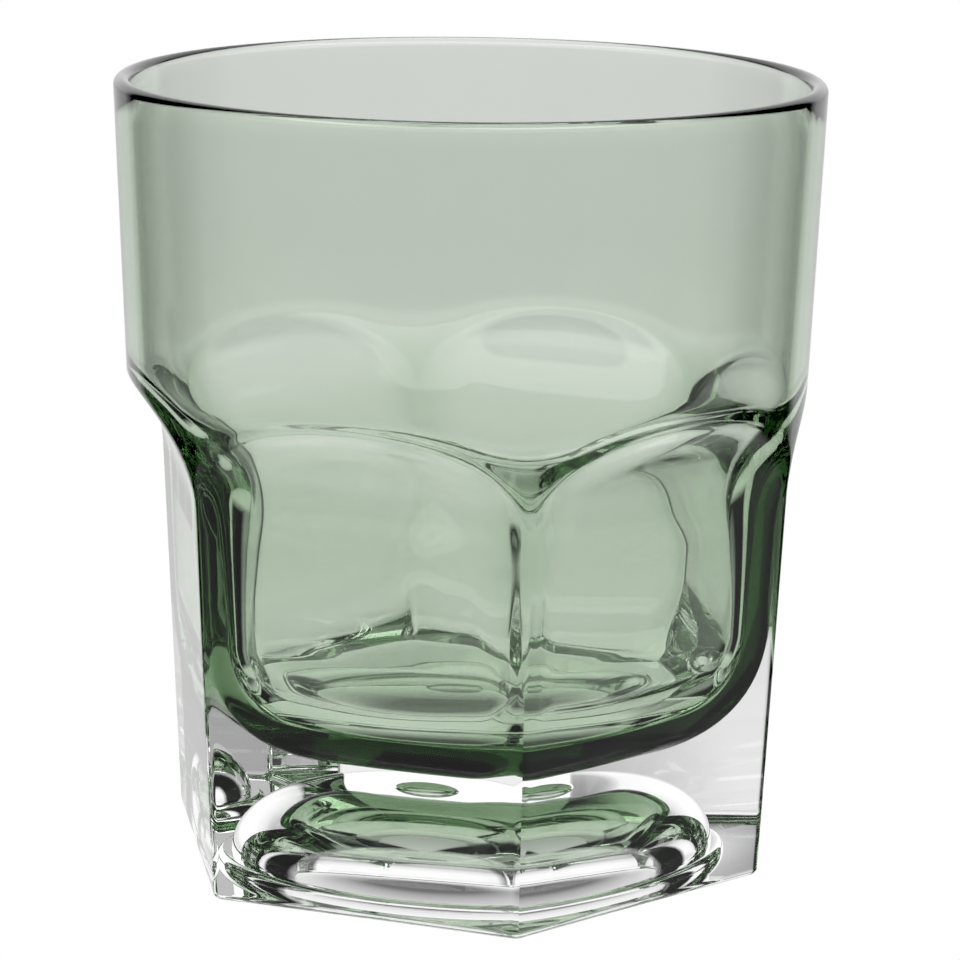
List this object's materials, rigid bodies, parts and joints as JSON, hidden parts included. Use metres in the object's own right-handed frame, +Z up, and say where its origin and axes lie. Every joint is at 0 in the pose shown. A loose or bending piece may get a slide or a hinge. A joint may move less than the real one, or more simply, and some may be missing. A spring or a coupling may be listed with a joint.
{
  "type": "acrylic tumbler",
  "caption": "Short drinking tumbler with a round tinted cup whose arched, flat-sided lower half is bonded into a thick clear hexagonal base with a dished underside.",
  "frame": {"origin": "middle of the foot, on the surface that the tumbler stands on", "axes": "+Z up along the tumbler's axis, a corner of the hexagonal base towards -Y, a flat side towards +X"},
  "size_m": [0.0892, 0.0892, 0.1],
  "materials": {
    "tinted_acrylic": "polished, see-through, light grey-green tint",
    "clear_acrylic": "polished, see-through, colourless"
  },
  "bodies": {
    "root": {"tinted_cup": "tinted_acrylic", "clear_base": "clear_acrylic"}
  },
  "joints": []
}
